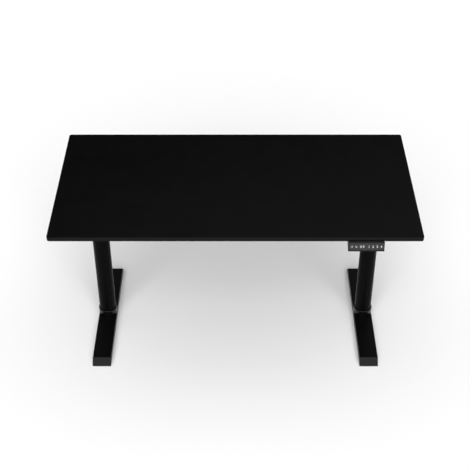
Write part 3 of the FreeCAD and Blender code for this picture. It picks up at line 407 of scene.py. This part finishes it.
def pickPoints(piece, wanted):
    # leaves the piece in edit mode with those corners selected
    bpy.ops.object.mode_set(mode="EDIT")
    bpy.ops.mesh.select_mode(type="VERT")
    bpy.ops.mesh.select_all(action="DESELECT")
    bpy.ops.object.mode_set(mode="OBJECT")
    for point in piece.data.vertices:
        point.select = wanted(point.co)
    bpy.ops.object.mode_set(mode="EDIT")


def leaveEdit():
    bpy.ops.object.mode_set(mode="OBJECT")


def cutAway(piece, cutter):
    # takes the cutter's shape out of the piece and throws the cutter away
    pickOnly(piece)
    cut = piece.modifiers.new("cut", "BOOLEAN")
    cut.operation = "DIFFERENCE"
    cut.solver = "EXACT"
    cut.object = cutter
    bpy.ops.object.modifier_apply(modifier="cut")
    bpy.data.objects.remove(cutter)


def copyOf(model, place):
    twin = model.copy()
    twin.data = model.data.copy()
    twin.matrix_world = place
    bpy.context.scene.collection.objects.link(twin)
    return twin


def joinAll(pieces):
    clearPick()
    for piece in pieces:
        piece.select_set(True)
    bpy.context.view_layer.objects.active = pieces[0]
    bpy.ops.object.join()
    bpy.ops.object.transform_apply(location=True, rotation=True, scale=True)
    return pieces[0]


def settle(piece, name, finish, body, stands=()):
    # its place goes into the mesh, so the object itself sits at the origin
    pickOnly(piece)
    bpy.ops.object.transform_apply(location=True, rotation=True, scale=True)
    piece.name = name
    piece.data.name = name
    piece.data.materials.clear()
    piece.data.materials.append(finish)
    bpy.ops.object.shade_smooth_by_angle(angle=math.radians(smoothAngle))
    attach(piece, body)
    if stands:
        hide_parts(*stands)


def cornersOf(piece):
    return [piece.matrix_world @ point.co for point in piece.data.vertices]


def boxOf(corners):
    low = Vector([min(corner[axis] for corner in corners) for axis in range(3)])
    high = Vector([max(corner[axis] for corner in corners) for axis in range(3)])
    return low, high


def looseParts(name):
    # the separate solids of one node, as lists of corners
    loose = bpy.data.objects.new("loose", nodes[name].data.copy())
    bpy.context.scene.collection.objects.link(loose)
    pickOnly(loose)
    bpy.ops.object.mode_set(mode="EDIT")
    bpy.ops.mesh.select_all(action="SELECT")
    bpy.ops.mesh.remove_doubles(threshold=0.000002)
    bpy.ops.mesh.separate(type="LOOSE")
    leaveEdit()
    pieces = list(bpy.context.selected_objects)
    found = [cornersOf(piece) for piece in pieces]
    for piece in pieces:
        bpy.data.objects.remove(piece)
    return found


# screws, bolts and nuts, modelled once for each kind and copied to where the frame has them

# the cross is sized for a head of crossHead radius and grows with the head
fastenerLook = {"sides": 20, "headSides": 32, "pitch": 0.001, "ridge": 0.9, "threaded": 0.014,
                "leastPlain": 0.0005, "leastTip": 0.0003, "sharpTip": 0.3, "bluntTip": 0.85,
                "chamfer": 0.0005, "faceInset": 0.2, "screwDome": 0.45, "boltDome": 0.0008,
                "crossHead": 0.005, "crossWide": 0.0011, "crossLong": 0.0046, "crossDeep": 0.0016,
                "crossTaper": (0.7, 0.8, 1.0), "socketShare": 0.55, "socketDeep": 0.0035,
                "flatHead": 0.003}
# what tells the parts of a fastener apart, as shares of its head's radius, and a nut from a bolt
readingLook = {"headShare": 0.96, "shankShare": 0.2, "nutSlack": 0.0002}


def growShank(radius, length, pointed):
    # a round shank that hangs from the origin, with ridges pulled out turn by turn at its end
    look = fastenerLook
    bpy.ops.mesh.primitive_circle_add(vertices=look["sides"], radius=radius, fill_type="NGON")
    shank = bpy.context.object
    bpy.ops.object.mode_set(mode="EDIT")
    bpy.ops.mesh.select_all(action="SELECT")
    plain = max(look["leastPlain"], length - look["threaded"])
    turns = int((length - plain) / look["pitch"])
    steps = [(plain, 1.0)]
    steps += [(look["pitch"] * 0.5, look["ridge"]), (look["pitch"] * 0.5, 1 / look["ridge"])] * turns
    tip = length - sum(step for step, share in steps)
    steps.append((max(look["leastTip"], tip), look["sharpTip"] if pointed else look["bluntTip"]))
    for step, share in steps:
        bpy.ops.mesh.extrude_region_move(TRANSFORM_OT_translate={"value": (0.0, 0.0, -step)})
        bpy.ops.transform.resize(value=(share, share, 1.0))
    bpy.ops.mesh.select_all(action="SELECT")
    bpy.ops.mesh.normals_make_consistent(inside=False)
    leaveEdit()
    return shank


def makeHexHead(radius, height):
    look = fastenerLook
    bpy.ops.mesh.primitive_cylinder_add(vertices=6, radius=radius, depth=height,
                                        location=(0.0, 0.0, height / 2))
    head = bpy.context.object
    bpy.ops.object.transform_apply(location=True, rotation=True, scale=True)
    pickFaces(head, lambda face: face.normal.z > 0.9)
    bpy.ops.mesh.bevel(offset=look["chamfer"], segments=2, affect="EDGES")
    pickFaces(head, lambda face: face.normal.z > 0.99)
    bpy.ops.mesh.inset(thickness=radius * look["faceInset"])
    bpy.ops.transform.translate(value=(0.0, 0.0, -look["chamfer"] / 2))
    leaveEdit()
    return head


def makeNut(radius, height, bore):
    # a nut is the same from both sides and stands round the origin
    look = fastenerLook
    bpy.ops.mesh.primitive_cylinder_add(vertices=6, radius=radius, depth=height)
    nut = bpy.context.object
    pickFaces(nut, lambda face: abs(face.normal.z) > 0.9)
    bpy.ops.mesh.bevel(offset=look["chamfer"], segments=2, affect="EDGES")
    leaveEdit()
    bpy.ops.mesh.primitive_cylinder_add(vertices=look["sides"], radius=bore, depth=height * 2)
    cutAway(nut, bpy.context.object)
    return nut


def makeRoundHead(radius, height, dome):
    bpy.ops.mesh.primitive_cylinder_add(vertices=fastenerLook["headSides"], radius=radius, depth=height,
                                        location=(0.0, 0.0, height / 2))
    head = bpy.context.object
    bpy.ops.object.transform_apply(location=True, rotation=True, scale=True)
    pickFaces(head, lambda face: face.normal.z > 0.9)
    bpy.ops.mesh.bevel(offset=dome, segments=4, affect="EDGES")
    leaveEdit()
    return head


def makeCrossScrew(found):
    look = fastenerLook
    top = found["height"]
    head = makeRoundHead(found["headRadius"], top, top * look["screwDome"])
    share = found["headRadius"] / look["crossHead"]
    for turn in (45.0, 135.0):
        bpy.ops.mesh.primitive_cube_add(size=1.0, location=(0.0, 0.0, top))
        blade = bpy.context.object
        blade.scale = (look["crossLong"] * share, look["crossWide"] * share, look["crossDeep"] * 2 * share)
        blade.rotation_euler = (0.0, 0.0, math.radians(turn))
        pickPoints(blade, lambda place: place.z < 0)
        bpy.ops.transform.resize(value=look["crossTaper"])
        leaveEdit()
        cutAway(head, blade)
    return joinAll([head, growShank(found["radius"], found["length"], True)])


def makeHexBolt(found):
    # the lowest heads of the frame are those of its cross-recess screws
    if found["height"] < fastenerLook["flatHead"]:
        return makeCrossScrew(found)
    head = makeHexHead(found["headRadius"], found["height"])
    return joinAll([head, growShank(found["radius"], found["length"], False)])


def makeSocketBolt(found):
    look = fastenerLook
    head = makeRoundHead(found["headRadius"], found["height"], look["boltDome"])
    bpy.ops.mesh.primitive_cylinder_add(vertices=6, radius=found["headRadius"] * look["socketShare"],
                                        depth=look["socketDeep"] * 2, location=(0.0, 0.0, found["height"]))
    cutAway(head, bpy.context.object)
    return joinAll([head, growShank(found["radius"], found["length"], False)])


def readFastener(corners):
    # its axis, where its head sits and how big it is, as the frame has it
    look = readingLook
    low, high = boxOf(corners)
    size = high - low
    middle = (low + high) / 2
    along = min(range(3), key=lambda axis: abs(size[(axis + 1) % 3] - size[(axis + 2) % 3]))
    second, third = (along + 1) % 3, (along + 2) % 3
    headRadius = size[second] / 2
    reach = [(corner[along], math.hypot(corner[second] - middle[second], corner[third] - middle[third]))
             for corner in corners]
    wide = [place for place, radius in reach if radius > headRadius * look["headShare"]]
    radius = min(radius for place, radius in reach if radius > headRadius * look["shankShare"])
    way = 1.0 if high[along] - max(wide) < min(wide) - low[along] else -1.0
    seat = min(wide) if way > 0 else max(wide)
    below, above = seat - low[along], high[along] - seat
    outward = Vector((0.0, 0.0, 0.0))
    outward[along] = way
    spot = middle.copy()
    spot[along] = seat
    return {"spot": spot, "middle": middle, "outward": outward, "headRadius": headRadius, "radius": radius,
            "isNut": max(wide) - min(wide) > size[along] - look["nutSlack"],
            "length": below if way > 0 else above, "height": above if way > 0 else below}


def placed(spot, outward):
    # the place whose third axis points outwards
    turn = Vector((0.0, 0.0, 1.0)).rotation_difference(outward).to_matrix().to_4x4()
    turn.translation = spot
    return turn


def replaceFasteners(node, name, body, makeHead):
    models = {}
    copies = []
    for corners in looseParts(node):
        found = readFastener(corners)
        kind = (found["isNut"], round(found["headRadius"], 4), round(found["length"], 4))
        if kind not in models:
            if found["isNut"]:
                models[kind] = makeNut(found["headRadius"], found["height"], found["radius"])
            else:
                models[kind] = makeHead(found)
        spot = found["middle"] if found["isNut"] else found["spot"]
        copies.append(copyOf(models[kind], placed(spot, found["outward"])))
    for model in models.values():
        bpy.data.objects.remove(model)
    settle(joinAll(copies), name, finishes["bolt_steel"], body, (node,))
    print(name, "copied to", len(copies), "places")


replaceFasteners("top_screws", "worktop_screws", "upper_frame", makeCrossScrew)
replaceFasteners("frame_bolts", "frame_bolts_and_nuts", "upper_frame", makeHexBolt)
for side in ("left", "right"):
    replaceFasteners(side + "_column_bolts", side + "_column_socket_bolts", side + "_base", makeSocketBolt)


# symbols on the keys and digits in the window

# capShare is how tall a digit is for a font of size 1, before it is fitted to digitTall
printLook = {"ink": 0.62, "digitTall": 0.0098, "capShare": 0.7, "thick": 0.00006,
             "arrowWide": 0.0076, "arrowTall": 0.0098, "arrowLine": 0.00216,
             "segmentLong": 0.0041, "segmentWide": 0.0009, "segmentPoint": 0.48, "segmentSpread": 0.15,
             "digitGap": 0.010, "digitLift": 0.00002, "glow": 0.12}


def makeInk():
    look = printLook
    finish = Finish("paleInk")
    speckle = finish.noise(0.0004, 3.0, 0.6)
    wearAndPaintedLight = finish.spread(finish.noise(0.003, 3.0), 0.35, 0.7)
    colour = finish.blend(wearAndPaintedLight, grey(look["ink"] * 0.86), grey(look["ink"], (1.0, 1.0, 0.98)))
    return finish.wear(Base_Color=colour, Roughness=0.45 + speckle * 0.2,
                       Normal=finish.bump(speckle, 0.00001, 0.4))


def makeSegmentGlow():
    look = printLook
    finish = Finish("litSegments")
    # the bars are a little uneven, as a diffuser over small lamps is
    speckle = finish.noise(0.0008, 2.0)
    colour = finish.blend(speckle, grey(0.9, (0.96, 0.98, 1.0)), grey(1.0))
    return finish.wear(Base_Color=grey(look["ink"]), Roughness=0.4 + speckle * 0.1,
                       Emission_Color=colour, Emission_Strength=look["glow"])


def facing(spot, outward):
    # third axis outwards, second axis up along the face
    across = Vector((1.0, 0.0, 0.0))
    turn = Matrix((across, outward.cross(across), outward)).transposed().to_4x4()
    turn.translation = spot
    return turn


def faceSpot(name, outward):
    # middle of the flat of a node that lies furthest out
    corners = cornersOf(nodes[name])
    furthest = max(corner.dot(outward) for corner in corners)
    low, high = boxOf([corner for corner in corners if corner.dot(outward) > furthest - 0.00001])
    return (low + high) / 2


def makeDigit(sign):
    look = printLook
    bpy.ops.object.text_add()
    digit = bpy.context.object
    digit.data.body = sign
    digit.data.align_x = "CENTER"
    digit.data.size = look["digitTall"] / look["capShare"]
    digit.data.extrude = look["thick"]
    bpy.ops.object.convert(target="MESH")
    digit = bpy.context.object
    low, high = boxOf(cornersOf(digit))
    share = look["digitTall"] / (high.y - low.y)
    digit.data.transform(Matrix.Translation(-(low + high) / 2))
    digit.data.transform(Matrix.Diagonal((share, share, 1.0, 1.0)))
    return digit


def makeArrow(down):
    look = printLook
    # half of the arrow is a bar whose outer end is pulled down, the other half its mirror
    bpy.ops.mesh.primitive_cube_add(size=1.0, location=(look["arrowWide"] / 4, 0.0, 0.0))
    arrow = bpy.context.object
    arrow.scale = (look["arrowWide"] / 2, look["arrowLine"], look["thick"] * 2)
    bpy.ops.object.transform_apply(location=True, rotation=True, scale=True)
    fall = look["arrowTall"] - look["arrowLine"]
    pickPoints(arrow, lambda place: place.x > look["arrowWide"] / 4)
    bpy.ops.transform.translate(value=(0.0, -fall, 0.0))
    leaveEdit()
    mirror = arrow.modifiers.new("mirror", "MIRROR")
    mirror.use_clip = True
    bpy.ops.object.modifier_apply(modifier="mirror")
    pickFaces(arrow, lambda face: abs(face.normal.x) > 0.99 and abs(face.center.x) < 0.00001)
    bpy.ops.mesh.delete(type="FACE")
    bpy.ops.mesh.select_all(action="SELECT")
    bpy.ops.mesh.remove_doubles(threshold=0.000001)
    bpy.ops.transform.translate(value=(0.0, fall / 2, 0.0))
    if down:
        bpy.ops.transform.rotate(value=math.pi, orient_axis="Z", center_override=(0.0, 0.0, 0.0))
    bpy.ops.mesh.normals_make_consistent(inside=False)
    leaveEdit()
    return arrow


def makeSegmentDigit():
    look = printLook
    # one bar with pointed ends, copied to the seven places of an 8
    bpy.ops.mesh.primitive_plane_add(size=1.0)
    bar = bpy.context.object
    bar.scale = (look["segmentLong"], look["segmentWide"], 1.0)
    bpy.ops.object.transform_apply(location=True, rotation=True, scale=True)
    bpy.ops.object.mode_set(mode="EDIT")
    bpy.ops.mesh.select_all(action="SELECT")
    bpy.ops.mesh.bevel(offset=look["segmentWide"] * look["segmentPoint"], affect="VERTICES",
                       offset_type="OFFSET")
    bpy.ops.mesh.select_all(action="SELECT")
    bpy.ops.mesh.extrude_region_move(TRANSFORM_OT_translate={"value": (0.0, 0.0, look["thick"])})
    bpy.ops.mesh.select_all(action="SELECT")
    bpy.ops.mesh.normals_make_consistent(inside=False)
    leaveEdit()
    long = look["segmentLong"] + look["segmentWide"] * look["segmentSpread"]
    upright = Matrix.Rotation(math.pi / 2, 4, "Z")
    bars = []
    for level in (-long, 0.0, long):
        bars.append(copyOf(bar, Matrix.Translation((0.0, level, 0.0))))
    for x in (-long / 2, long / 2):
        for level in (-long / 2, long / 2):
            bars.append(copyOf(bar, Matrix.Translation((x, level, 0.0)) @ upright))
    bpy.data.objects.remove(bar)
    return joinAll(bars)


keySigns = {"key_up": "up", "key_down": "down", "key_memory_1": "1", "key_memory_2": "2",
            "key_memory_3": "3", "key_memory_4": "4"}


def printKeys(outward):
    ink = makeInk()
    for key, sign in keySigns.items():
        symbol = makeDigit(sign) if sign.isdigit() else makeArrow(sign == "down")
        symbol.matrix_world = facing(faceSpot(key, outward) + outward * printLook["thick"], outward)
        settle(symbol, key + "_symbol", ink, key + "_cap")


def lightWindow(outward):
    model = makeSegmentDigit()
    window = faceSpot("handset_display", outward) + outward * printLook["digitLift"]
    digits = []
    for shift in (-0.5, 0.5):
        spot = window + Vector((shift * printLook["digitGap"], 0.0, 0.0))
        digits.append(copyOf(model, facing(spot, outward)))
    bpy.data.objects.remove(model)
    settle(joinAll(digits), "window_digits", makeSegmentGlow(), "upper_frame")


press = [joint for joint in frame["joints"] if joint["name"] == "key_up_press"][0]
outOfFace = -Vector(press["axis"]).normalized()
printKeys(outOfFace)
lightWindow(outOfFace)
print("symbols are on the keys")
